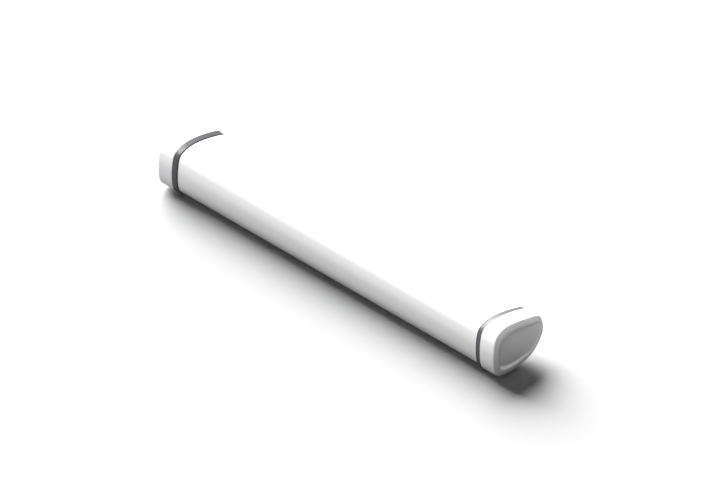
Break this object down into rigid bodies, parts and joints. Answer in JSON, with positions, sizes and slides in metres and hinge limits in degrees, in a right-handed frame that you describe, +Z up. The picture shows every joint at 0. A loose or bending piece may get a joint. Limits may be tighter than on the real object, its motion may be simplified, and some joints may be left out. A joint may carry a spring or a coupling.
{
  "type": "open-array radar antenna",
  "caption": "Long closed radome bar with wider end caps and dark trim bands, a slotted waveguide and flared horn inside, and a flat bolt-on seat under its centre.",
  "frame": {"origin": "centre of the seat's flat underside, on the axis that the bar turns about on its pedestal", "axes": "+X along the bar, -Y out of the tall flat radiating face, +Z up out of the seat"},
  "size_m": [1.13, 0.1706, 0.1379],
  "materials": {
    "white_shell": "satin white moulded radome",
    "white_cap": "satin white moulded cap",
    "dark_trim": "semi-gloss dark grey trim",
    "black_rubber": "matt black seal",
    "moulded_grey": "moulded glass-filled grey",
    "aluminium": "mill finish",
    "cast_aluminium": "bead-blasted casting",
    "brass": "turned",
    "steel": "stainless, plain",
    "ptfe": "smooth white",
    "foam": "closed-cell foam",
    "absorber": "matt carbon-filled"
  },
  "bodies": {
    "array": {"radome_tube": "white_shell", "end_cap_right": "white_cap", "end_cap_left": "white_cap", "trim_band_right": "dark_trim", "trim_band_left": "dark_trim", "body_seal_right": "black_rubber", "body_seal_left": "black_rubber", "port_o_ring": "black_rubber", "bulkhead_right": "moulded_grey", "bulkhead_left": "moulded_grey", "rib_1": "moulded_grey", "rib_2": "moulded_grey", "rib_3": "moulded_grey", "rib_4": "moulded_grey", "slotted_waveguide": "aluminium", "waveguide_short_right": "aluminium", "waveguide_short_left": "aluminium", "horn_sheet_upper": "aluminium", "horn_sheet_lower": "aluminium", "spine": "aluminium", "mounting_seat": "cast_aluminium", "saddle": "cast_aluminium", "feed_outer_tube": "brass", "contact_barrel": "brass", "feed_probe": "brass", "thread_bush_1": "steel", "thread_bush_2": "steel", "thread_bush_3": "steel", "thread_bush_4": "steel", "clamp_screw_1": "steel", "clamp_screw_2": "steel", "clamp_screw_3": "steel", "clamp_screw_4": "steel", "spine_screw_right": "steel", "spine_screw_left": "steel", "contact_spring": "steel", "feed_bead_lower": "ptfe", "feed_bead_upper": "ptfe", "horn_foam_right": "foam", "horn_foam_left": "foam", "absorber_load_right": "absorber", "absorber_load_left": "absorber"},
    "contact": {"contact_pin": "brass"}
  },
  "joints": [
    {"name": "contact_slide", "type": "slide", "parent": "array", "child": "contact", "axis": [0, 0, 1], "range_m": [0, 0.002], "stiffness_N_per_m": 600, "springref_m": -0.003, "deforming": ["contact_spring"]}
  ]
}
